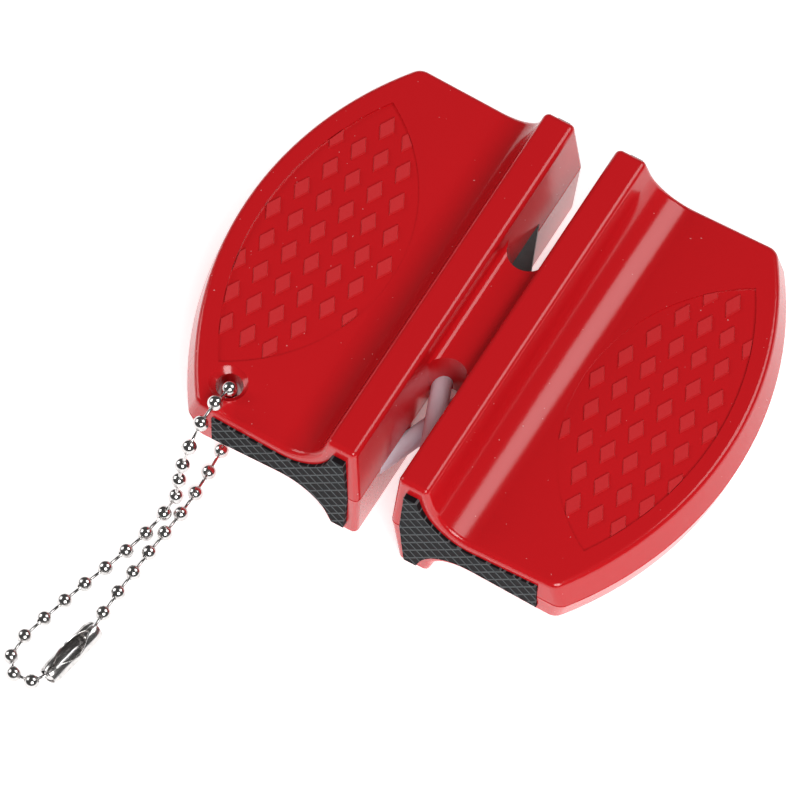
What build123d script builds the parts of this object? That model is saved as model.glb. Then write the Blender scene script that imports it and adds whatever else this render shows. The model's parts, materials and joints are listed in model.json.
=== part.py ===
from build123d import *
from math import atan2, cos, degrees, radians, sin, sqrt, tan
import os

os.makedirs("parts", exist_ok=True)

# Pocket two-stage edge sharpener on a ball chain. Millimetres.
# The origin is at the bottom centre, on the surface that the two rails stand on.
# X runs across the rails, Y along the knife slots and Z is up.

# Housing
body_height = 20.8        # rail top to rail bottom
body_length = 56.0        # end to end at the parting line
body_width = 72.0         # wing tip to wing tip at the parting line
end_width = body_width - 18.6    # width of each straight end, corner to corner
corner_radius = 2.0       # end corners
draft = 4.0               # mould draft of the ends and the slot, degrees
side_draft = 13.5         # slope of the curved sides, degrees
wall = 1.4                # shell wall
side_wall = 2.6           # shell wall along the curved sides, at the parting line
rail_wall = 2.1           # shell wall over the rail tops
edge_radius = 0.8         # rounding of the rail and wing edges
seam_chamfer = 0.12       # each shell's edge at the parting line

# Rails, wings and bridge
slot_width = 4.6          # knife slot at the parting line
rail_outer_x = 7.2        # outer top edge of each rail
root_x = 9.25             # where the rail's outer wall would meet the wing
root_height = 3.25        # wing surface above the parting line at that corner
tip_height = 4.85         # wing surface above the parting line at the wing tip
valley_radius = 6.0       # hollow between rail and wing
bridge_drop = 3.5         # bridge top below the rail tops
bridge_fillet = 1.0       # bridge to rail
bridge_half = 8.0         # half the bridge's length along the middle of the slot

# Grip recess in each wing
grip_depth = 0.5          # at the wing tip, fading to nothing at the valley
grip_half_length = body_length / 2 - 6.5
grip_tip_x = body_width / 2 - 9.7
grip_inner_x = 13.8
grip_margin = 3.4         # grip edge to wing tip

# Inside the shells
block_half_width = 8.0    # blocks that hold the rods and blades
block_inner_y = 3.5
block_height = 4.2
pad_ledge = 0.8           # ledge behind each end pad
peg_radius = 1.2
peg_length = 1.7
peg_clearance = 0.03
boss_wall = 1.1
peg_x = 14.0
peg_y = body_length / 2 - 9.5
outer_peg_x = body_width / 2 - 6.0

# End pads
pad_thickness = 1.9
pad_proud = 0.15          # pad face beyond the parting line
pad_gap = 0.05

# Ceramic rods, near slot
rod_radius = 1.3
rod_angle = 21.0          # from the slot, degrees
rod_cross_y = 15.5 - body_length / 2
rod_inner_length = 8.5
rod_outer_length = 12.0
seat_clearance = 0.05

# Carbide blades, far slot
blade_width = 4.0
blade_thickness = 1.5
blade_angle = 22.0        # from the slot, degrees
blade_vee_y = body_length / 2 - 17.0
blade_inner_length = 6.0
blade_outer_length = 9.0

# Chain hole, through the left wing
hole_x = 3.2 - end_width / 2
hole_y = 4.6 - body_length / 2
hole_radius = 1.75
dimple_radius = 2.5
dimple_depth = 1.0
hole_boss_wall = 0.85

# Ball chain
bead_radius = 1.0
bead_wall = 0.22
pin_radius = 0.22
pin_clearance = 0.07      # round a pin, in a bead's hole
pin_head = 0.31           # ball on each end of a pin
head_offset = 0.44        # head centre from the bead's centre
bead_rest = 0.05          # clear of the surface that the chain lies on
lift_angle = 25.0         # how far a lift joint opens, degrees

# Chain connector
connector_radius = 1.45
connector_wall = 0.25
connector_overhang = 0.85
connector_window = 1.7    # width of the opening that the beads enter by

# Centre of each bead from the hole's axis, and above the rest plane: from one end of the connector round the
# loop, down through the hole and back to the connector's other end
bead_places = [
    (-1.9, -40.1, 1.5), (-3.45, -42.5, 1.4), (-6.05, -42.55, 1.05), (-7.6, -40.6, 1.05),
    (-7.6, -37.35, 1.05), (-6.75, -34.0, 1.05), (-5.85, -30.6, 1.05), (-4.9, -27.3, 1.05),
    (-3.85, -24.1, 1.05), (-2.85, -20.75, 1.05), (-2.0, -17.4, 1.05), (-1.35, -14.05, 1.6),
    (-0.5, -12.5, 4.5), (-0.35, -11.9, 7.9), (-0.1, -11.4, 11.3), (0.25, -10.25, 14.55),
    (0.45, -7.7, 16.9), (0.5, -4.25, 16.8), (0.65, -1.05, 15.5), (0.0, 0.0, 12.6),
    (0.0, 0.0, 9.25), (0.0, 0.3, 5.95), (0.0, 0.4, 2.65), (0.15, -2.6, 1.05),
    (0.35, -6.0, 1.05), (0.45, -9.4, 1.05), (0.35, -12.8, 1.05), (0.05, -16.15, 1.05),
    (-0.25, -19.5, 1.05), (-0.5, -22.9, 1.05), (-0.7, -26.25, 1.05), (-0.8, -29.65, 1.05),
    (-0.6, -33.0, 1.5),
]
upper_joints = (5, 7, 9)  # beads that the loop lifts on, counted along the route, tail first
lower_joints = (32, 30, 28)
top_bead = 20             # last bead above the hole's middle

bead_count = len(bead_places)
seam_z = body_height / 2
seam = Plane.XY.offset(seam_z)
end_y = body_length / 2
tip_x = body_width / 2
reach = body_length       # longer than any cut needs
sagitta = tip_x - end_width / 2
side_radius = (end_y**2 + sagitta**2) / (2 * sagitta)
side_centre_x = tip_x - side_radius
section_plane = Plane(origin=(0, 0, seam_z), x_dir=(1, 0, 0), z_dir=(0, -1, 0))
window_x = side_centre_x + sqrt((side_radius - side_wall) ** 2 - end_y**2)
slot_slope = tan(radians(draft))
rail_top_x = slot_width / 2 + slot_slope * seam_z
slot_centre = bridge_half + slot_width / 2
bridge_floor = seam_z - bridge_drop
pad_face_y = end_y + pad_proud
pad_back_y = pad_face_y - pad_thickness
ledge_y = pad_back_y - pad_ledge
rod_length = rod_inner_length + rod_outer_length
peg_spots = [(x, y) for x in (-peg_x, peg_x) for y in (-peg_y, peg_y)] + [(-outer_peg_x, 0), (outer_peg_x, 0)]
dimple_sphere = (dimple_radius**2 + dimple_depth**2) / (2 * dimple_depth)
wing_slope = (tip_height - root_height) / (tip_x - root_x)
hole_surface_z = seam_z + root_height + wing_slope * (-hole_x - root_x)


def wing_section(inset=0.0, tip_drop=0.0):
    """Section of the right rail and wing through both shells, shrunk by inset or with its tip lowered."""
    top = seam_z - (rail_wall - wall if inset else 0)
    root, tip = root_height, tip_height - tip_drop
    with BuildSketch() as section:
        with BuildLine():
            Polyline(
                (slot_width / 2, 0), (rail_top_x, top), (rail_outer_x, top), (root_x, root), (tip_x, tip),
                (tip_x, -tip), (root_x, -root), (rail_outer_x, -top), (rail_top_x, -top), close=True,
            )
        make_face()
        fillet(section.vertices().filter_by(lambda v: abs(v.X - root_x) < 0.01), radius=valley_radius)
        if inset:
            offset(amount=-inset, kind=Kind.INTERSECTION, mode=Mode.REPLACE)
    return section.sketch_local


def grip_outline():
    """Pointed oval of the right wing's grip."""
    outer_x = tip_x - grip_margin
    with BuildSketch() as grip:
        with BuildLine():
            ThreePointArc((grip_tip_x, -grip_half_length), (outer_x, 0), (grip_tip_x, grip_half_length))
            ThreePointArc((grip_tip_x, grip_half_length), (grip_inner_x, 0), (grip_tip_x, -grip_half_length))
        make_face()
    return grip.sketch_local


def rod_plane(side):
    """Plane at a rod's inner end, looking along it; side 1 is the upper rod, -1 the lower."""
    along = Vector(side * sin(radians(rod_angle)), -cos(radians(rod_angle)), 0)
    start = Vector(0, rod_cross_y, seam_z + side * rod_radius) - along * rod_inner_length
    return Plane(origin=start, x_dir=(-along.Y, along.X, 0), z_dir=along)


def rod_seat(towards_seam):
    """Section of a rod's seat, open to the parting line above (1) or below (-1) it."""
    radius = rod_radius + seat_clearance
    with BuildSketch() as seat:
        Circle(radius)
        with Locations((0, towards_seam * rod_radius / 2)):
            Rectangle(2 * radius, rod_radius)
    return seat.sketch_local


def blade_plane(side):
    """Plane of the parting line at the point of the vee, with X along the blade's edge."""
    along = Vector(-side * sin(radians(blade_angle)), cos(radians(blade_angle)), 0)
    return Plane(origin=(0, blade_vee_y, seam_z), x_dir=along, z_dir=(0, 0, 1))


def blade_outline(side, gap):
    """Outline of a blade, larger all round by gap."""
    with BuildSketch() as blade:
        with Locations(((blade_outer_length - blade_inner_length) / 2, side * blade_width / 2)):
            Rectangle(blade_outer_length + blade_inner_length + 2 * gap, blade_width + 2 * gap)
    return blade.sketch_local


def slot_section(floor):
    """Section of the knife slot above a floor, which widens upwards with the draft."""
    with BuildSketch() as section:
        with BuildLine():
            Polyline(
                (-slot_width / 2 - slot_slope * floor, floor), (slot_width / 2 + slot_slope * floor, floor),
                (rail_top_x + slot_slope, seam_z + 1), (-rail_top_x - slot_slope, seam_z + 1), close=True,
            )
        make_face()
    return section.sketch_local


def is_high(edge):
    """True for edges round the tops of the rails and wings."""
    return edge.bounding_box().min.Z > seam_z + root_height


# Outer form of the upper shell, before it is hollowed
with BuildPart() as outer_form:
    with BuildSketch(section_plane) as block_section:
        add(wing_section())
        Rectangle(slot_width / 2 + 2, body_height, align=(Align.MIN, Align.CENTER))
    extrude(amount=reach, both=True)
    mirror(about=Plane.YZ)
    with BuildSketch(seam):
        Rectangle(body_width + 2, body_length)
    extrude(amount=seam_z, taper=draft, mode=Mode.INTERSECT)
    with Locations((-side_centre_x, 0, seam_z), (side_centre_x, 0, seam_z)):
        sides = Cone(
            side_radius, side_radius - seam_z * tan(radians(side_draft)), seam_z,
            align=(Align.CENTER, Align.CENTER, Align.MIN), mode=Mode.PRIVATE,
        )
    for side in sides.solids():
        add(side, mode=Mode.INTERSECT)
    corners = outer_form.edges().filter_by(
        lambda e: abs(e.center().X) > end_width / 2 - corner_radius and e.bounding_box().size.Z > root_height)
    fillet(corners.filter_by(lambda e: abs(e.center().Y) > end_y / 2), radius=corner_radius)
    # Channel over the bridge, and a knife slot with a round inner end at each end of it
    for floor, near_y in ((bridge_floor, 0), (0, slot_centre)):
        with BuildSketch(section_plane.offset(near_y)) as channel:
            add(slot_section(floor))
            if floor:
                fillet(channel.vertices().group_by(Axis.Y)[0], radius=bridge_fillet)
        extrude(amount=reach, mode=Mode.SUBTRACT)
        with BuildSketch(section_plane.offset(-near_y)):
            add(channel.sketch_local)
        extrude(amount=-reach, mode=Mode.SUBTRACT)
    with Locations((0, -slot_centre, seam_z), (0, slot_centre, seam_z)):
        Cone(
            slot_width / 2, slot_width / 2 + slot_slope * seam_z, seam_z,
            align=(Align.CENTER, Align.CENTER, Align.MIN), mode=Mode.SUBTRACT,
        )
    # Rounding of the rails, wings and slot mouths
    high = outer_form.edges().filter_by(is_high)
    smooth = high.filter_by(Axis.Y).filter_by(lambda e: e.center().Z < body_height - 0.01)
    lips = high.filter_by(lambda e: abs(e.center().X) < rail_top_x - 0.3 and abs(e.center().Y) < end_y - 2)
    mouths = outer_form.edges().filter_by(
        lambda e: e.length > seam_z - 1 and e.length < seam_z + 1 and abs(e.center().X) < rail_top_x)
    fillet(high - smooth - lips + mouths, radius=edge_radius)
    chamfer(outer_form.faces().sort_by(Axis.Z)[0].outer_wire().edges(), length=seam_chamfer)

# Everything that is hollow in the upper half, both sides
with BuildPart() as cavity:
    lengths = ((wall, 0, ledge_y), (wall + pad_ledge, ledge_y, pad_back_y), (wall, pad_back_y, reach))
    for inset, near_y, far_y in lengths:
        with BuildSketch(section_plane.offset(-far_y)):
            add(wing_section(inset=inset))
        extrude(amount=far_y - near_y)
    mirror(about=Plane.XZ)
    with BuildSketch(seam):
        with Locations((side_centre_x, 0)):
            Circle(side_radius - side_wall)
        Rectangle(window_x, body_length * 2, align=(Align.MIN, Align.CENTER))
    extrude(amount=seam_z, mode=Mode.INTERSECT)
    with BuildSketch(seam):
        with Locations((window_x, -body_length), (window_x, body_length)):
            Rectangle(tip_x, 2 * (body_length - ledge_y), align=(Align.MIN, Align.CENTER))
    extrude(amount=seam_z, mode=Mode.SUBTRACT)
    mirror(about=Plane.YZ)
    with BuildSketch(seam):
        Rectangle(2 * block_half_width, 2 * block_inner_y)
    extrude(amount=bridge_floor - wall)
    with BuildSketch(seam):
        for end in (-1, 1):
            with Locations((0, end * (block_inner_y + ledge_y) / 2)):
                Rectangle(2 * block_half_width, ledge_y - block_inner_y)
    extrude(amount=block_height, mode=Mode.SUBTRACT)
    with BuildSketch(seam):
        with Locations(*peg_spots):
            Circle(peg_radius + boss_wall)
        with Locations((hole_x, hole_y)):
            Circle(hole_radius + hole_boss_wall)
    extrude(amount=seam_z, mode=Mode.SUBTRACT)

# What is pressed into each wing for the grip
with BuildPart() as grip_cut:
    with BuildSketch(seam):
        add(grip_outline())
    extrude(amount=seam_z)
    with BuildSketch(section_plane):
        add(wing_section(tip_drop=grip_depth))
    extrude(amount=reach, both=True, mode=Mode.SUBTRACT)
    mirror(about=Plane.YZ)

# Upper half as moulded, the same for both shells apart from the pegs and seats
with BuildPart() as half_shell:
    add(outer_form.part)
    add(cavity.part, mode=Mode.SUBTRACT)
    add(grip_cut.part, mode=Mode.SUBTRACT)
    with BuildSketch(seam):
        with Locations((hole_x, hole_y)):
            Circle(hole_radius)
    extrude(amount=seam_z, mode=Mode.SUBTRACT)
    with Locations((hole_x, hole_y, hole_surface_z - dimple_depth + dimple_sphere)):
        Sphere(dimple_sphere, mode=Mode.SUBTRACT)

with BuildPart() as top_shell:
    add(half_shell.part)
    with BuildSketch(seam):
        with Locations(*peg_spots):
            Circle(peg_radius)
    extrude(amount=-peg_length)
    with BuildSketch(rod_plane(1).offset(-seat_clearance)):
        add(rod_seat(-1))
    extrude(amount=rod_length + 2 * seat_clearance, mode=Mode.SUBTRACT)
    with BuildSketch(blade_plane(1)):
        add(blade_outline(1, seat_clearance))
    extrude(amount=blade_thickness, mode=Mode.SUBTRACT)

with BuildPart() as bottom_shell:
    mirror(half_shell.part, about=seam)
    with BuildSketch(seam):
        with Locations(*peg_spots):
            Circle(peg_radius + peg_clearance)
    extrude(amount=-peg_length - 0.3, mode=Mode.SUBTRACT)
    with BuildSketch(rod_plane(-1).offset(-seat_clearance)):
        add(rod_seat(1))
    extrude(amount=rod_length + 2 * seat_clearance, mode=Mode.SUBTRACT)
    with BuildSketch(blade_plane(-1)):
        add(blade_outline(-1, seat_clearance))
    extrude(amount=-blade_thickness, mode=Mode.SUBTRACT)

parts = {"top_shell": top_shell.part, "bottom_shell": bottom_shell.part}

# Ceramic rods and carbide blades, the upper one of each pair in the upper shell
for level, side in (("upper", 1), ("lower", -1)):
    with BuildPart() as ceramic_rod:
        with BuildSketch(rod_plane(side)):
            Circle(rod_radius)
        extrude(amount=rod_length)
    parts[f"ceramic_rod_{level}"] = ceramic_rod.part
    with BuildPart() as carbide_blade:
        with BuildSketch(blade_plane(side)):
            add(blade_outline(side, 0))
        extrude(amount=side * blade_thickness)
    parts[f"carbide_blade_{level}"] = carbide_blade.part

# Black end pads, one in each open end
with BuildPart() as pad_form:
    with BuildSketch(section_plane.offset(-pad_face_y)):
        add(wing_section(inset=wall + pad_gap))
        Rectangle(window_x - pad_gap, body_height, align=(Align.MIN, Align.CENTER), mode=Mode.INTERSECT)
    extrude(amount=pad_thickness)
for end_name, end_mirror in (("far", None), ("near", Plane.XZ)):
    for side_name, side_mirror in (("right", None), ("left", Plane.YZ)):
        pad = pad_form.part
        for plane in (end_mirror, side_mirror):
            pad = pad.mirror(plane) if plane else pad
        with BuildPart() as end_pad:
            add(pad)
        parts[f"end_pad_{end_name}_{side_name}"] = end_pad.part


def lift_axis(joint):
    """Axis through the two beads that one lift joint turns on; a positive turn raises the tail."""
    upper = centres[upper_joints[joint]]
    lower = centres[lower_joints[joint]]
    return Axis(origin=lower, direction=upper - lower)


def mouth_directions(bead):
    """Directions of a bead's holes: one for each pin, spread into a slot where the pin lifts."""
    directions = []
    for neighbour in (bead - 1, bead + 1):
        if not 0 <= neighbour < bead_count:
            continue
        along = (centres[neighbour] - centres[bead]).normalized()
        lifts = (bead in upper_joints and neighbour < bead) or (bead in lower_joints and neighbour > bead)
        if not lifts:
            directions.append(along)
            continue
        joint = upper_joints.index(bead) if bead in upper_joints else lower_joints.index(bead)
        turning = Axis(origin=(0, 0, 0), direction=lift_axis(joint).direction)
        directions += [along.rotate(turning, lift_angle * step / 3) for step in range(4)]
    return directions


def make_beads(beads):
    """Hollow balls, each with a hole for every pin."""
    with BuildPart() as group:
        for bead in beads:
            mouths = mouth_directions(bead)
            with Locations(Plane(origin=centres[bead], z_dir=mouths[0])):
                Sphere(bead_radius)
                Sphere(bead_radius - bead_wall, mode=Mode.SUBTRACT)
            for along in mouths:
                with BuildSketch(Plane(origin=centres[bead], z_dir=along)):
                    Circle(pin_radius + pin_clearance)
                extrude(amount=1.3 * bead_radius, mode=Mode.SUBTRACT)
    return group.part


def make_pins(first_beads):
    """Pins with a ball on each end, each from a bead to the next."""
    with BuildPart() as group:
        for bead in first_beads:
            start, end = centres[bead], centres[bead + 1]
            length = (end - start).length
            along = (end - start).normalized()
            across = Plane(origin=start, z_dir=along).x_dir
            lengthwise = Plane(origin=start, x_dir=along, z_dir=across)
            with BuildSketch(lengthwise) as half_section:
                with Locations((head_offset, 0), (length - head_offset, 0)):
                    Circle(pin_head)
                with Locations((length / 2, 0)):
                    Rectangle(length - 2 * head_offset, 2 * pin_radius)
                with Locations((length / 2, -length / 2)):
                    Rectangle(length, length, mode=Mode.SUBTRACT)
            revolve(axis=Axis(origin=start, direction=along))
    return group.part


centres = [Vector(hole_x + x, hole_y + y, max(z, bead_radius + bead_rest)) for x, y, z in bead_places]
chain_length = sum((end - start).length for start, end in zip(centres, centres[1:]))

# Chain pieces by the body that they move with: the beads, then the pins by the bead that each starts at
tail_joint, middle_joint, neck_joint = upper_joints
tail_lower, middle_lower, neck_lower = lower_joints
chain_groups = {
    "chain_neck_upper": (range(neck_joint, top_bead + 1), range(neck_joint, top_bead)),
    "chain_neck_lower": (range(top_bead + 1, neck_lower + 1), range(top_bead, neck_lower)),
    "chain_middle_upper": (range(middle_joint, neck_joint), range(middle_joint, neck_joint)),
    "chain_middle_lower": (range(neck_lower + 1, middle_lower + 1), range(neck_lower, middle_lower)),
    "chain_outer_upper": (range(tail_joint, middle_joint), range(tail_joint, middle_joint)),
    "chain_outer_lower": (range(middle_lower + 1, tail_lower + 1), range(middle_lower, tail_lower)),
    "chain_tail": (range(tail_joint), range(tail_joint)),
}
for group_name, (beads, pins) in chain_groups.items():
    parts[f"{group_name}_beads"] = make_beads(beads)
    parts[f"{group_name}_pins"] = make_pins(pins)

# Connector: a sleeve round the two end beads, open at its ends and along a window in its side
first_end, last_end = centres[0], centres[-1]
sleeve_axis = (last_end - first_end).normalized()
sleeve_length = (last_end - first_end).length + 2 * connector_overhang
with BuildPart() as connector:
    with BuildSketch(Plane(origin=first_end - sleeve_axis * connector_overhang, z_dir=sleeve_axis)):
        Circle(connector_radius)
        Circle(connector_radius - connector_wall, mode=Mode.SUBTRACT)
    extrude(amount=sleeve_length)
    sleeve_middle = (first_end + last_end) / 2
    with BuildSketch(Plane(origin=sleeve_middle, x_dir=sleeve_axis, z_dir=(0, 0, 1))):
        SlotOverall(sleeve_length - 2 * connector_overhang, connector_window)
    extrude(amount=2 * connector_radius, mode=Mode.SUBTRACT)
parts["chain_connector"] = connector.part

for name, part in parts.items():
    part.label = name
    export_step(part, f"parts/{name}.step")

print(f"chain: {bead_count} beads, {chain_length:.1f} mm round the loop")
for joint in range(len(upper_joints)):
    axis = lift_axis(joint)
    print("lift joint", joint, "through", axis.position, "along", axis.direction)
print("connector from", first_end, "to", last_end)
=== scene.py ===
"""Two-stage pocket edge sharpener on a ball chain: its looks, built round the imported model."""

import json
from math import cos, pi, radians, sin, sqrt

import bmesh
import bpy
from bpy.props import FloatProperty, FloatVectorProperty, IntProperty, PointerProperty
from mathutils import Matrix, Vector
from mathutils.bvhtree import BVHTree


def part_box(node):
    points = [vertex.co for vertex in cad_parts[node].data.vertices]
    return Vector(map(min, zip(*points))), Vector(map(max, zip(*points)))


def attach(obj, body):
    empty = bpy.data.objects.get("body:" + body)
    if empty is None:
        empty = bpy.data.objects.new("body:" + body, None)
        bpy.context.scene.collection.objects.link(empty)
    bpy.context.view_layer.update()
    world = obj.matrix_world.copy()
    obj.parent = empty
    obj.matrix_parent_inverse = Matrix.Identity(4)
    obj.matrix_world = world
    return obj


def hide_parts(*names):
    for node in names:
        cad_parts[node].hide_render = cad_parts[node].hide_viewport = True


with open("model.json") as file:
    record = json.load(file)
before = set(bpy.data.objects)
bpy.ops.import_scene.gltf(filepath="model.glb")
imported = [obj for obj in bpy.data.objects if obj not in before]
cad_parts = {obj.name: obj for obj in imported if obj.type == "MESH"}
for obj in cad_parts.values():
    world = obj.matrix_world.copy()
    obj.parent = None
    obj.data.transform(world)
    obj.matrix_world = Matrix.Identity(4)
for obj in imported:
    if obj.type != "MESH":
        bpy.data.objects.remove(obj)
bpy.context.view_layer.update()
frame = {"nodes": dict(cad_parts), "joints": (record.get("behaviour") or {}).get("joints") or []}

bl_info = {
    "name": "Pocket Edge Sharpener",
    "version": (1, 0, 0),
    "blender": (4, 5, 0),
    "location": "3D View > Sidebar > Sharpener",
    "description": "Builds the sharpener's shells, grip pads, sharpening elements and ball chain",
    "category": "Add Mesh",
}

MM = 0.001
BODY_LOW, BODY_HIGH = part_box("top_shell")
FLOOR_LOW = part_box("bottom_shell")[0]
SEAM_Z = (FLOOR_LOW.z + BODY_HIGH.z) / 2
SHELLS = ("top_shell", "bottom_shell")
PADS = tuple(name for name in frame["nodes"] if name.startswith("end_pad"))
CHAIN_BEADS = tuple(name for name in frame["nodes"] if name.endswith("_beads"))
CHAIN_PINS = tuple(name for name in frame["nodes"] if name.endswith("_pins"))
CONNECTOR_JOINT = next(joint for joint in frame["joints"] if joint["name"] == "connector_spin")

WELD_DISTANCE = 0.0005 * MM
CUT_TOLERANCE = 1e-7
FACES_OUTWARD = 0.9             # least part of a pad face's normal along the slot

# Diamonds of the grips
DIAMOND_COLUMNS = range(-1, 8)  # from the start diamond, in every row
DIAMOND_DRAFT = 0.25 * MM       # how much smaller a diamond's top is than its foot
DIAMOND_SUNK = 0.05 * MM        # foot below the recess floor
RECESS_MARGIN = 0.12 * MM       # trimmed diamond to the recess's edge
LEAST_INSIDE = 0.1 * MM         # a diamond's centre lies this far inside the trimming line, or it is left out
RAY_START = 20 * MM             # above the parting line

# Knurl of the end pads
KNURL_LINES = 40                # each way from the middle, which passes both edges
LEAST_CELL = 0.5 * MM           # a cell with less area than this squared stays flat

# Connector, in half lengths along it and in radians round it
SHOULDER_START = 0.72
SHOULDER_TAPER = 0.17           # how much narrower the ends are
WINDOW_END = 0.66
WINDOW_POWER = 1.6              # how pointed the window is
SEAM_ANGLE = 0.12
WINDOW_ANGLE = 0.95
CREASE_DEPTH = 0.05 * MM
CREASES = 4
SLEEVE_SEGMENTS = 40

# Studio
SENSOR_WIDTH = 36
FLOOR_RADIUS = 1.6
LIGHTS = (                      # name, place, size, watts
    ("key", (0.35, -0.45, 0.60), 0.40, 4.6),
    ("left", (-0.7, -0.1, 0.45), 0.45, 2.0),
    ("right_back", (0.36, 0.44, 0.75), 0.50, 3.0),
)


# Sizes and colours that a user would change

class SharpenerFinish(bpy.types.PropertyGroup):
    """Colours and gloss of the sharpener's materials."""

    red: FloatVectorProperty(
        name="Shell red", description="Colour of the moulded shells",
        subtype="COLOR", size=3, min=0, max=1, default=(0.58, 0.008, 0.012))
    red_roughness: FloatProperty(
        name="Shell roughness", description="Roughness of the moulded shells", min=0, max=1, default=0.16)
    pad_black: FloatVectorProperty(
        name="Pad black", description="Colour of the end pads",
        subtype="COLOR", size=3, min=0, max=1, default=(0.005, 0.005, 0.006))
    # Painted highlight: this grey on the pads' ridges stands in for light caught on them; the rubber is black
    # all over
    ridge_highlight_grey: FloatVectorProperty(
        name="Ridge grey", description="Colour of the ridges of the end pads",
        subtype="COLOR", size=3, min=0, max=1, default=(0.11, 0.12, 0.125))
    ceramic: FloatVectorProperty(
        name="Ceramic", description="Colour of the rods",
        subtype="COLOR", size=3, min=0, max=1, default=(0.80, 0.76, 0.84))
    carbide: FloatVectorProperty(
        name="Carbide", description="Colour of the blades",
        subtype="COLOR", size=3, min=0, max=1, default=(0.045, 0.052, 0.052))
    nickel: FloatVectorProperty(
        name="Nickel", description="Colour of the chain's plating",
        subtype="COLOR", size=3, min=0, max=1, default=(0.66, 0.64, 0.63))


class SharpenerSizes(bpy.types.PropertyGroup):
    """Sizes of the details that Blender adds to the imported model."""

    knurl_pitch: FloatProperty(
        name="Knurl pitch", description="Distance between ridges of the end pads",
        unit="LENGTH", default=1.45 * MM)
    knurl_depth: FloatProperty(
        name="Knurl depth", description="Depth of the knurl's cells", unit="LENGTH", default=0.07 * MM)
    knurl_ridge: FloatProperty(
        name="Knurl ridge", description="Half the width of a ridge at its top",
        unit="LENGTH", default=0.11 * MM)
    grip_half_length: FloatProperty(
        name="Grip half length", description="Half the length of a wing's grip along the slot",
        unit="LENGTH", default=21.5 * MM)
    grip_tip: FloatProperty(
        name="Grip tip", description="Distance of the grip's points from the middle of the body",
        unit="LENGTH", default=26.3 * MM)
    grip_inner: FloatProperty(
        name="Grip inner edge", description="Distance of the grip's inner edge from the middle of the body",
        unit="LENGTH", default=13.8 * MM)
    grip_margin: FloatProperty(
        name="Grip margin", description="Grip's outer edge to the wing's edge",
        unit="LENGTH", default=3.4 * MM)
    diamond_width: FloatProperty(
        name="Diamond width", description="Width of a grip diamond across the body",
        unit="LENGTH", default=2.15 * MM)
    diamond_length: FloatProperty(
        name="Diamond length", description="Length of a grip diamond along the slot",
        unit="LENGTH", default=3.95 * MM)
    diamond_height: FloatProperty(
        name="Diamond height", description="Height of a grip diamond", unit="LENGTH", default=0.3 * MM)
    diamond_step: FloatProperty(
        name="Diamond step", description="Distance between diamonds in a row",
        unit="LENGTH", default=3.23 * MM)
    diamond_row: FloatProperty(
        name="Diamond row", description="Distance between rows of diamonds",
        unit="LENGTH", default=4.29 * MM)
    diamond_start: FloatVectorProperty(
        name="Diamond start", description="Centre of one diamond of the right wing",
        subtype="TRANSLATION", size=2, default=(13.75 * MM, 0.76 * MM))
    sheet: FloatProperty(
        name="Connector sheet", description="Thickness of the connector's folded sheet",
        unit="LENGTH", default=0.22 * MM)
    connector_rings: IntProperty(
        name="Connector rings", description="Rings along the connector", min=8, default=64)


# Materials

class Value:
    """A number socket that Python's operators work on, each adding a Math node."""

    def __init__(self, shader, socket):
        self.shader = shader
        self.socket = socket

    def math(self, operation, *others):
        return self.shader.node("ShaderNodeMath", {"operation": operation}, self, *others)

    def __add__(self, other):
        return self.math("ADD", other)

    def __sub__(self, other):
        return self.math("SUBTRACT", other)

    def __rsub__(self, other):
        return (self * -1) + other

    def __mul__(self, other):
        return self.math("MULTIPLY", other)

    def __truediv__(self, other):
        return self.math("DIVIDE", other)

    def clamped(self):
        return self.shader.node("ShaderNodeClamp", {}, self, 0, 1)

    def above(self, edge, softness):
        """0 below the edge and 1 above it, over a soft band."""
        return ((self - edge) / softness + 0.5).clamped()

    def to_line(self, pitch):
        """Distance to the nearest multiple of pitch."""
        return self.math("PINGPONG", pitch / 2)


class Shader:
    """One material and the nodes in it."""

    def __init__(self, name, **sockets):
        self.material = bpy.data.materials.new(name)
        self.material.use_nodes = True
        self.tree = self.material.node_tree
        self.surface = self.tree.nodes["Principled BSDF"]
        for socket, value in sockets.items():
            self.set(socket, value)

    def set(self, socket, value):
        """Sets one of the surface's sockets to a value or links it."""
        self.join(self.surface.inputs[socket], value)

    def join(self, target, value):
        """Gives a socket a link, a colour or a number."""
        if isinstance(value, Value):
            self.tree.links.new(value.socket, target)
        elif hasattr(value, "__len__") and len(value) == 3 and target.type == "RGBA":
            target.default_value = (*value, 1)
        else:
            target.default_value = value

    def node(self, kind, settings, *values, out=0, **named):
        """Adds a node: its type, its settings, then its sockets in order or by name."""
        made = self.tree.nodes.new(kind)
        for setting, value in settings.items():
            setattr(made, setting, value)
        for socket, value in zip(made.inputs, values):
            if value is not None:
                self.join(socket, value)
        for name, value in named.items():
            self.join(made.inputs[name], value)
        return Value(self, made.outputs[out])

    def place(self):
        """Object coordinates."""
        return self.node("ShaderNodeTexCoord", {}, out="Object")

    def axes(self, vector):
        """The three parts of a vector."""
        parts = self.node("ShaderNodeSeparateXYZ", {}, vector).socket.node
        return [Value(self, output) for output in parts.outputs]

    def noise(self, vector, scale, detail=2.0, stretch=None):
        """Noise from 0 to 1; scale is in cells per metre."""
        if stretch:
            vector = self.node("ShaderNodeMapping", {}, vector, Scale=stretch)
        return self.node("ShaderNodeTexNoise", {}, Vector=vector, Scale=scale, Detail=detail)

    def mix(self, factor, first, second):
        """Mix of two colours."""
        made = self.tree.nodes.new("ShaderNodeMix")
        made.data_type = "RGBA"
        factor_socket, *_, first_socket, second_socket = (s for s in made.inputs if s.enabled)
        self.join(factor_socket, factor)
        self.join(first_socket, first)
        self.join(second_socket, second)
        return Value(self, next(s for s in made.outputs if s.enabled))

    def bump(self, height, distance, strength):
        """Tilts the surface's normal by the slope of a height from 0 to 1."""
        self.set("Normal", self.node(
            "ShaderNodeBump", {}, Height=height, Distance=distance, Strength=strength))


def scaled(colour, factor):
    """A colour made lighter or darker."""
    return tuple(channel * factor for channel in colour)


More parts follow.
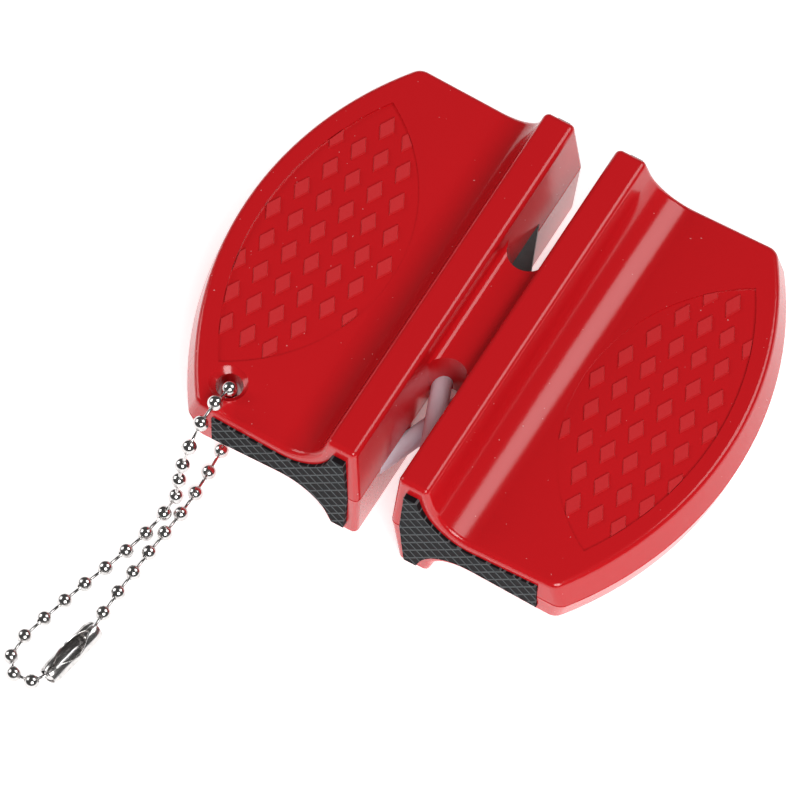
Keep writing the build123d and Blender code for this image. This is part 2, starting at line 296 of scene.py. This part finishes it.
def finish():
    """The colours and gloss in use."""
    return bpy.context.scene.sharpener_finish


def sizes():
    """The details' sizes in use."""
    return bpy.context.scene.sharpener_sizes


def shell_material():
    """Glossy moulded plastic, with a slight ripple, hairline scratches and specks of dust."""
    red = finish().red
    dust = (0.75, 0.42, 0.42)
    shader = Shader("shell_red", IOR=1.5)
    place = shader.place()
    ripple = shader.noise(place, scale=260)
    grain = shader.noise(place, scale=2600, detail=3)
    specks = shader.noise(place, scale=2300, detail=1).above(edge=0.805, softness=0.012)
    hairs = shader.noise(place, scale=420, detail=3, stretch=(6, 0.35, 1)).above(edge=0.73, softness=0.03)
    tint = shader.noise(place, scale=40)
    shader.set("Base Color", shader.mix(specks * 0.65, shader.mix(tint, scaled(red, 0.93), red), dust))
    shader.set("Roughness", (grain - 0.5) * 0.05 + specks * 0.4 + hairs * 0.10 + finish().red_roughness)
    shader.bump(ripple * 0.6 + grain * 0.04 + specks * 0.5, distance=0.03 * MM, strength=0.35)
    return shader.material


def grip_material():
    """The shells' plastic where it is moulded with a fine matt grain, on the grip diamonds."""
    paler_red = (0.62, 0.03, 0.034)
    shader = Shader("grip_red", IOR=1.5)
    grain = shader.noise(shader.place(), scale=9000, detail=3)
    shader.set("Base Color", shader.mix(grain, finish().red, paler_red))
    shader.set("Roughness", grain * 0.15 + 0.30)
    shader.bump(grain, distance=0.02 * MM, strength=0.5)
    return shader.material


def pad_material():
    """Black rubber, with a painted highlight in paler grey on the ridges where the knurl's lattice lines run.
    """
    shader = Shader("pad_black", IOR=1.2)
    place = shader.place()
    x, _, z = shader.axes(place)
    pitch = sizes().knurl_pitch
    rising = ((x + z - SEAM_Z) / sqrt(2)).to_line(pitch)
    falling = ((x - z + SEAM_Z) / sqrt(2)).to_line(pitch)
    nearest = rising.math("MINIMUM", falling)
    ridge = 1 - nearest.above(edge=sizes().knurl_ridge, softness=0.05 * MM)
    grain = shader.noise(place, scale=5000, detail=3)
    # Random strength, from noise, of the painted highlight on the ridges
    ridge_highlight_strength = (shader.noise(place, scale=300) * 0.6 + 0.6).clamped()
    black = finish().pad_black
    worn = shader.mix(grain, black, scaled(black, 2))
    # Painted highlight: the grey on the ridges stands in for light caught on them; the rubber itself is black
    shader.set("Base Color", shader.mix(ridge * ridge_highlight_strength, worn, finish().ridge_highlight_grey))
    shader.set("Roughness", grain * 0.2 + 0.5 - ridge * 0.15)
    shader.bump(grain, distance=0.02 * MM, strength=0.6)
    return shader.material


def ceramic_material():
    """White sintered ceramic with a fine ground grain."""
    shader = Shader("ceramic_white", IOR=1.6)
    place = shader.place()
    grain = shader.noise(place, scale=6000, detail=4)
    cloud = shader.noise(place, scale=500)
    white = finish().ceramic
    shader.set("Base Color", shader.mix(cloud, white, scaled(white, 0.94)))
    shader.set("Roughness", grain * 0.2 + 0.42)
    shader.bump(grain, distance=0.012 * MM, strength=0.6)
    return shader.material


def carbide_material():
    """Ground sintered carbide: dark, half metallic, with fine grinding lines."""
    shader = Shader("carbide_grey", IOR=1.6)
    place = shader.place()
    lines = shader.noise(place, scale=900, detail=3, stretch=(1, 9, 1))
    grain = shader.noise(place, scale=7000, detail=3)
    grey = finish().carbide
    shader.set("Base Color", shader.mix(lines, grey, scaled(grey, 1.8)))
    shader.set("Metallic", grain * 0.2 + 0.45)
    shader.set("Roughness", lines * 0.18 + 0.34)
    shader.bump(lines * 0.7 + grain * 0.3, distance=0.01 * MM, strength=0.7)
    return shader.material


def nickel_material(name, roughness):
    """Bright nickel plate with small ripples and rubbed patches."""
    shader = Shader(name)
    place = shader.place()
    ripple = shader.noise(place, scale=900)
    rubbed = shader.noise(place, scale=1600, detail=4)
    nickel = finish().nickel
    patches = rubbed.above(edge=0.60, softness=0.15)
    shader.set("Base Color", shader.mix(patches, nickel, scaled(nickel, 0.80)))
    shader.set("Metallic", 1.0)
    shader.set("Roughness", rubbed * 0.14 + roughness)
    shader.bump(ripple, distance=0.02 * MM, strength=0.5)
    return shader.material


def stage_material(glow):
    """Plain pale floor that glows a little, like a light table."""
    shader = Shader("stage_white", Roughness=0.9)
    shader.set("Base Color", (0.92, 0.92, 0.92))
    shader.set("Emission Color", (1, 1, 1))
    shader.set("Emission Strength", glow)
    return shader.material


# Meshes

def new_piece(name, mesh_source, material, body, smooth=True):
    """Makes an object of a bmesh, with its finish, on its body."""
    mesh = bpy.data.meshes.new(name)
    mesh_source.to_mesh(mesh)
    mesh_source.free()
    mesh.materials.append(material)
    mesh.polygons.foreach_set("use_smooth", [smooth] * len(mesh.polygons))
    piece = bpy.data.objects.new(name, mesh)
    bpy.context.scene.collection.objects.link(piece)
    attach(piece, body)
    return piece


def add_smoothing(piece, angle):
    """Joins loose triangles and shades them smooth between edges sharper than the angle."""
    weld = piece.modifiers.new("weld", "WELD")
    weld.merge_threshold = WELD_DISTANCE
    split = piece.modifiers.new("sharp edges", "EDGE_SPLIT")
    split.split_angle = radians(angle)
    weighted = piece.modifiers.new("weighted normals", "WEIGHTED_NORMAL")
    weighted.weight = 80


def finish_node(name, material, angle=30):
    """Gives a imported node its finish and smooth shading."""
    node = frame["nodes"][name]
    node.data.materials.clear()
    node.data.materials.append(material)
    node.data.polygons.foreach_set("use_smooth", [True] * len(node.data.polygons))
    add_smoothing(node, angle)


def merged_copy(name):
    """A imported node's mesh as a bmesh with its loose triangles joined."""
    source = bmesh.new()
    source.from_mesh(frame["nodes"][name].data)
    bmesh.ops.remove_doubles(source, verts=source.verts, dist=WELD_DISTANCE)
    return source


def arc_centre(tip_x, tip_y, bulge_x):
    """Centre on the X axis, and radius, of the arc through (tip_x, +-tip_y) and (bulge_x, 0)."""
    centre = (tip_x**2 + tip_y**2 - bulge_x**2) / (2 * (tip_x - bulge_x))
    return centre, abs(bulge_x - centre)


# Operators

class SHARPENER_OT_stage(bpy.types.Operator):
    """Adds the camera, the floor and the studio lights"""
    bl_idname = "sharpener.stage"
    bl_label = "Stage"

    camera_azimuth: FloatProperty(name="Camera azimuth", subtype="ANGLE", default=radians(30.4))
    camera_elevation: FloatProperty(name="Camera elevation", subtype="ANGLE", default=radians(61.9))
    camera_distance: FloatProperty(name="Camera distance", unit="LENGTH", default=1.6)
    frame_width: FloatProperty(
        name="Frame width", description="Width of the view at the object", unit="LENGTH", default=0.1)
    frame_left: FloatProperty(
        name="Frame left", description="The view's middle from the body's, to the left",
        unit="LENGTH", default=10.9 * MM)
    frame_down: FloatProperty(
        name="Frame down", description="The view's middle from the body's, downwards",
        unit="LENGTH", default=7.4 * MM)
    floor_glow: FloatProperty(name="Floor glow", description="Emission of the floor", min=0, default=0.62)
    world_glow: FloatProperty(name="World glow", description="Light from all round", min=0, default=0.08)

    def execute(self, context):
        self.add_camera(context.scene)
        self.add_floor(context.scene)
        for light in LIGHTS:
            self.add_light(context.scene, *light)
        world = bpy.data.worlds.new("studio")
        context.scene.world = world
        world.use_nodes = True
        background = world.node_tree.nodes["Background"]
        background.inputs["Color"].default_value = (1, 1, 1, 1)
        background.inputs["Strength"].default_value = self.world_glow
        context.scene.view_settings.view_transform = "Standard"
        return {"FINISHED"}

    def add_camera(self, scene):
        """A camera that looks down on the body from in front."""
        out = Vector((
            sin(self.camera_azimuth) * cos(self.camera_elevation),
            -cos(self.camera_azimuth) * cos(self.camera_elevation),
            sin(self.camera_elevation)))
        right = Vector((cos(self.camera_azimuth), sin(self.camera_azimuth), 0))
        up = out.cross(right)
        data = bpy.data.cameras.new("camera")
        data.sensor_width = SENSOR_WIDTH
        data.lens = data.sensor_width * self.camera_distance / self.frame_width
        data.clip_end = 20
        camera = bpy.data.objects.new("camera", data)
        scene.collection.objects.link(camera)
        scene.camera = camera
        aim = Vector((0, 0, SEAM_Z)) - right * self.frame_left - up * self.frame_down
        camera.matrix_world = Matrix.Translation(aim + out * self.camera_distance) @ Matrix((
            (right.x, up.x, out.x, 0), (right.y, up.y, out.y, 0), (right.z, up.z, out.z, 0), (0, 0, 0, 1)))

    def add_floor(self, scene):
        """A round floor under the object."""
        ground = bmesh.new()
        bmesh.ops.create_circle(ground, cap_ends=True, segments=96, radius=FLOOR_RADIUS)
        mesh = bpy.data.meshes.new("floor")
        ground.to_mesh(mesh)
        ground.free()
        mesh.materials.append(stage_material(self.floor_glow))
        floor = bpy.data.objects.new("floor", mesh)
        scene.collection.objects.link(floor)

    def add_light(self, scene, name, place, size, watts):
        """A square soft light that looks at the object."""
        data = bpy.data.lights.new(name, "AREA")
        data.size = size
        data.energy = watts
        light = bpy.data.objects.new(name, data)
        light.location = place
        light.rotation_euler = (Vector((0, 0, SEAM_Z)) - Vector(place)).to_track_quat("-Z", "Y").to_euler()
        scene.collection.objects.link(light)


class SHARPENER_OT_shells(bpy.types.Operator):
    """Finishes the two moulded shells"""
    bl_idname = "sharpener.shells"
    bl_label = "Shells"

    def execute(self, context):
        red = shell_material()
        for name in SHELLS:
            finish_node(name, red)
        return {"FINISHED"}


class SHARPENER_OT_grips(bpy.types.Operator):
    """Adds the moulded diamonds in the wings' grip recesses, above and below"""
    bl_idname = "sharpener.grips"
    bl_label = "Grip diamonds"

    def execute(self, context):
        size = sizes()
        material = grip_material()
        tip_x = BODY_HIGH.x
        inner = arc_centre(size.grip_tip, size.grip_half_length, size.grip_inner)
        outer = arc_centre(size.grip_tip, size.grip_half_length, tip_x - size.grip_margin)
        for shell, up in (("top_shell", 1), ("bottom_shell", -1)):
            surface = BVHTree.FromObject(frame["nodes"][shell], context.evaluated_depsgraph_get())
            grip = bmesh.new()
            for side in (-1, 1):
                for x, y in self.lattice(size):
                    self.add_diamond(grip, surface, side, up, x, y, (inner, outer))
            bmesh.ops.recalc_face_normals(grip, faces=grip.faces)
            name = "grip_" + ("upper" if up > 0 else "lower")
            new_piece(name, grip, material, "housing", smooth=False)
        return {"FINISHED"}

    def lattice(self, size):
        """Centres of the diamonds on the right wing, in staggered rows."""
        rows = int(size.grip_half_length / size.diamond_row) + 1
        for row in range(-rows, rows + 1):
            start = size.diamond_start[0] + ((row + 1) % 2) * size.diamond_step / 2
            for column in DIAMOND_COLUMNS:
                yield start + column * size.diamond_step, size.diamond_start[1] + row * size.diamond_row

    def add_diamond(self, grip, surface, side, up, x, y, arcs):
        """One diamond on the recess floor, trimmed where it would cross one of the recess's arcs."""
        size = sizes()
        reach = size.diamond_length / 2
        gaps = [radius - Vector((x - centre_x, y)).length - RECESS_MARGIN for centre_x, radius in arcs]
        if min(gaps) < LEAST_INSIDE:
            return
        start = Vector((side * x, y, SEAM_Z + up * RAY_START))
        hit, normal, _, _ = surface.ray_cast(start, Vector((0, 0, -up)))
        turn = Vector((0, 0, 1)).rotation_difference(normal).to_matrix().to_4x4()
        stretch = Matrix.Diagonal((size.diamond_width / size.diamond_length, 1, 1, 1))
        height = size.diamond_height + DIAMOND_SUNK
        lift = Matrix.Translation(hit + normal * (height / 2 - DIAMOND_SUNK))
        made = bmesh.ops.create_cone(
            grip, cap_ends=True, segments=4, radius1=reach, radius2=reach - DIAMOND_DRAFT, depth=height,
            matrix=lift @ turn @ stretch)
        verts = made["verts"]
        for (centre_x, radius), gap in zip(arcs, gaps):
            if gap <= reach:
                away = Vector((x - centre_x, y, 0)).normalized()
                rim = Vector((centre_x, 0, 0)) + away * (radius - RECESS_MARGIN)
                rim.x *= side
                away.x *= side
                verts = self.trim(grip, verts, rim, away)

    def trim(self, grip, verts, rim, away):
        """Cuts a diamond off at a plane, closes the cut and gives back its vertices."""
        parts = list({item for v in verts if v.is_valid for item in (v, *v.link_edges, *v.link_faces)})
        cut = bmesh.ops.bisect_plane(
            grip, geom=parts, dist=CUT_TOLERANCE, plane_co=rim, plane_no=away, clear_outer=True)
        edges = [item for item in cut["geom_cut"] if isinstance(item, bmesh.types.BMEdge)]
        if len(edges) > 2:
            bmesh.ops.contextual_create(grip, geom=edges)
        return [item for item in cut["geom"] if isinstance(item, bmesh.types.BMVert)]


class SHARPENER_OT_pads(bpy.types.Operator):
    """Adds the end pads with their knurled faces"""
    bl_idname = "sharpener.pads"
    bl_label = "End pads"

    def execute(self, context):
        material = pad_material()
        for name in PADS:
            pad = self.knurled(name)
            piece = new_piece(name + "_knurled", pad, material, "housing", smooth=False)
            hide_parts(name)
        return {"FINISHED"}

    def knurled(self, name):
        """The pad, with its outer face cut into ridges and sunk cells."""
        size = sizes()
        pad = merged_copy(name)
        bmesh.ops.dissolve_limit(pad, angle_limit=radians(1), verts=pad.verts, edges=pad.edges)
        outward = -1 if "near" in name else 1
        for slope in (-1, 1):
            across = Vector((1, 0, slope)).normalized()
            for line in range(-KNURL_LINES, KNURL_LINES + 1):
                parts = list({item for f in self.front(pad, outward) for item in (f, *f.edges, *f.verts)})
                place = Vector((0, 0, SEAM_Z)) + across * line * size.knurl_pitch
                bmesh.ops.bisect_plane(pad, geom=parts, dist=CUT_TOLERANCE, plane_co=place, plane_no=across)
        cells = [f for f in self.front(pad, outward) if f.calc_area() > LEAST_CELL**2]
        bmesh.ops.inset_individual(
            pad, faces=cells, thickness=size.knurl_ridge, depth=-size.knurl_depth, use_even_offset=True)
        bmesh.ops.recalc_face_normals(pad, faces=pad.faces)
        return pad

    def front(self, pad, outward):
        """The pad's faces that look out of the body."""
        return [f for f in pad.faces if f.normal.y * outward > FACES_OUTWARD]


class SHARPENER_OT_sharpeners(bpy.types.Operator):
    """Finishes the ceramic rods and the carbide blades"""
    bl_idname = "sharpener.sharpeners"
    bl_label = "Rods and blades"

    def execute(self, context):
        ceramic, carbide = ceramic_material(), carbide_material()
        for name in frame["nodes"]:
            if name.startswith("ceramic_rod"):
                finish_node(name, ceramic)
            if name.startswith("carbide_blade"):
                finish_node(name, carbide)
        return {"FINISHED"}


class SHARPENER_OT_chain(bpy.types.Operator):
    """Finishes the chain's beads and pins"""
    bl_idname = "sharpener.chain"
    bl_label = "Ball chain"

    def execute(self, context):
        nickel = nickel_material("nickel_plate", 0.08)
        for name in CHAIN_BEADS + CHAIN_PINS:
            finish_node(name, nickel, angle=40)
        return {"FINISHED"}


class SHARPENER_OT_connector(bpy.types.Operator):
    """Adds the chain's connector, a folded sheet with a pointed window"""
    bl_idname = "sharpener.connector"
    bl_label = "Connector"

    def execute(self, context):
        node = "chain_connector"
        size = sizes()
        axis = Vector(CONNECTOR_JOINT["axis"])
        middle = Vector(CONNECTOR_JOINT["pos_m"])
        offsets = [v.co - middle for v in frame["nodes"][node].data.vertices]
        half_length = max(offset.dot(axis) for offset in offsets)
        radius = max((offset - axis * offset.dot(axis)).length for offset in offsets)
        side = axis.cross(Vector((0, 0, 1))).normalized()
        top = side.cross(axis)
        sleeve = bmesh.new()
        bmesh.ops.create_grid(sleeve, x_segments=size.connector_rings, y_segments=SLEEVE_SEGMENTS, size=1)
        for vert in sleeve.verts:
            along, around = vert.co.x, vert.co.y
            shoulder = max(0.0, (abs(along) - SHOULDER_START) / (1 - SHOULDER_START))
            wall_radius = (radius - size.sheet / 2) * (1 - SHOULDER_TAPER * shoulder**2)
            window = max(0.0, 1 - (abs(along) / WINDOW_END) ** WINDOW_POWER)
            angle = around * (pi - SEAM_ANGLE - WINDOW_ANGLE * window)
            crease = CREASE_DEPTH * cos(angle * CREASES) * shoulder
            outward = side * sin(angle) - top * cos(angle)
            vert.co = middle + axis * along * half_length + outward * (wall_radius + crease)
        bmesh.ops.recalc_face_normals(sleeve, faces=sleeve.faces)
        nickel = nickel_material("nickel_sheet", 0.14)
        piece = new_piece("chain_connector_sleeve", sleeve, nickel, "connector")
        solidify = piece.modifiers.new("sheet", "SOLIDIFY")
        solidify.thickness = size.sheet
        solidify.offset = 0
        rounding = piece.modifiers.new("rounding", "BEVEL")
        rounding.width = 0.05 * MM
        rounding.segments = 2
        rounding.limit_method = "ANGLE"
        rounding.angle_limit = radians(50)
        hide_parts(node)
        return {"FINISHED"}


class SHARPENER_PT_panel(bpy.types.Panel):
    """Lists the sharpener's pieces, sizes and colours"""
    bl_idname = "SHARPENER_PT_panel"
    bl_label = "Pocket Sharpener"
    bl_space_type = "VIEW_3D"
    bl_region_type = "UI"
    bl_category = "Sharpener"

    def draw(self, context):
        for operator in OPERATORS:
            self.layout.operator(operator.bl_idname)
        for group in (context.scene.sharpener_finish, context.scene.sharpener_sizes):
            box = self.layout.box()
            for name in group.__annotations__:
                box.prop(group, name)


OPERATORS = (
    SHARPENER_OT_stage, SHARPENER_OT_shells, SHARPENER_OT_grips, SHARPENER_OT_pads,
    SHARPENER_OT_sharpeners, SHARPENER_OT_chain, SHARPENER_OT_connector,
)
CLASSES = (SharpenerFinish, SharpenerSizes, *OPERATORS, SHARPENER_PT_panel)


def register():
    for cls in CLASSES:
        bpy.utils.register_class(cls)
    bpy.types.Scene.sharpener_finish = PointerProperty(type=SharpenerFinish)
    bpy.types.Scene.sharpener_sizes = PointerProperty(type=SharpenerSizes)


def unregister():
    del bpy.types.Scene.sharpener_sizes
    del bpy.types.Scene.sharpener_finish
    for cls in reversed(CLASSES):
        bpy.utils.unregister_class(cls)


def main():
    """Builds everything in order."""
    register()
    bpy.ops.sharpener.stage()
    bpy.ops.sharpener.shells()
    bpy.ops.sharpener.grips()
    bpy.ops.sharpener.pads()
    bpy.ops.sharpener.sharpeners()
    bpy.ops.sharpener.chain()
    bpy.ops.sharpener.connector()


if __name__ == "__main__":
    main()
